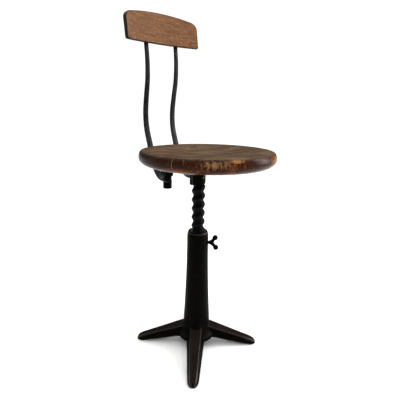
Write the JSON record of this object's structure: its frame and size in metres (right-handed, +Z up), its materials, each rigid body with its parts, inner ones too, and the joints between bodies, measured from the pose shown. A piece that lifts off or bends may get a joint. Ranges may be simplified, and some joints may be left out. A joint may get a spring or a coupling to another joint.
{
  "type": "adjustable swivel stool",
  "caption": "Work stool with a round dished wooden seat and curved backrest on a four-legged pedestal, raised and lowered by a coarse round-thread spindle.",
  "frame": {"origin": "on the floor, under the middle of the object's bounding box", "axes": "+Z up, the sitter faces -Y, X is across the seat"},
  "size_m": [0.356, 0.4399, 0.9792],
  "materials": {
    "pedestal_iron": "worn black paint on cast iron, brown at the edges",
    "bracket_iron": "black painted cast iron",
    "bush_metal": "grey white-metal casting",
    "brass": "dull brass",
    "seat_wood": "dark worn varnish, satin to glossy",
    "plywood": "worn brown varnish on bent plywood",
    "bar_steel": "dark worn steel",
    "spindle_steel": "dark oiled steel",
    "screw_steel": "dull dark steel"
  },
  "bodies": {
    "pedestal": {"base_casting": "pedestal_iron", "thread_bush": "bush_metal"},
    "tail_guide_ring": {"tail_guide": "bracket_iron"},
    "spindle_screw": {"spindle": "spindle_steel", "tail_washer": "screw_steel", "tail_bolt": "screw_steel"},
    "lock_pad_slug": {"lock_pad": "brass"},
    "wing_lock": {"wing_screw": "bracket_iron"},
    "seat": {"seat_board": "seat_wood", "seat_bracket": "bracket_iron", "seat_screw_1": "screw_steel", "seat_screw_2": "screw_steel", "seat_screw_3": "screw_steel", "seat_screw_4": "screw_steel", "hub_set_screw": "screw_steel"},
    "backrest": {"bar_right": "bar_steel", "bar_left": "bar_steel", "backrest_board": "plywood", "back_screw_1": "screw_steel", "back_screw_2": "screw_steel", "back_screw_3": "screw_steel", "back_screw_4": "screw_steel"},
    "clamp_r": {"clamp_washer_right": "screw_steel", "clamp_bolt_right": "bracket_iron"},
    "clamp_l": {"clamp_washer_left": "screw_steel", "clamp_bolt_left": "bracket_iron"}
  },
  "joints": [
    {"name": "seat_height", "type": "slide", "parent": "pedestal", "child": "tail_guide_ring", "axis": [0, 0, 1], "range_m": [-0.128, 0.12]},
    {"name": "spindle_turn", "type": "hinge", "parent": "tail_guide_ring", "child": "spindle_screw", "pos_m": [0, -0.0046, 0.3], "axis": [0, 0, 1], "range_deg": [-1822, 1709]},
    {"name": "seat_swivel", "type": "hinge", "parent": "spindle_screw", "child": "seat", "pos_m": [0, -0.0046, 0.5], "axis": [0, 0, 1], "continuous": true},
    {"name": "lock_slide", "type": "slide", "parent": "pedestal", "child": "lock_pad_slug", "axis": [0.7934, -0.6088, 0], "range_m": [0, 0.00225]},
    {"name": "wing_turn", "type": "hinge", "parent": "lock_pad_slug", "child": "wing_lock", "pos_m": [0.0238, -0.02286, 0.339], "axis": [0.7934, -0.6088, 0], "range_deg": [0, 540]},
    {"name": "back_slide", "type": "slide", "parent": "seat", "child": "backrest", "axis": [0, 1, 0], "range_m": [-0.011, 0.0035]},
    {"name": "clamp_right_turn", "type": "hinge", "parent": "seat", "child": "clamp_r", "pos_m": [-0.0467, 0.0876, 0.5], "axis": [0, 0, -1], "range_deg": [0, 360]},
    {"name": "clamp_left_turn", "type": "hinge", "parent": "seat", "child": "clamp_l", "pos_m": [0.0467, 0.0876, 0.5], "axis": [0, 0, -1], "range_deg": [0, 360]}
  ],
  "couplings": [
    {"joint": "spindle_turn", "follows": "seat_height", "rad_per_m": 247.37},
    {"joint": "wing_turn", "follows": "lock_slide", "rad_per_m": 4188.8}
  ]
}
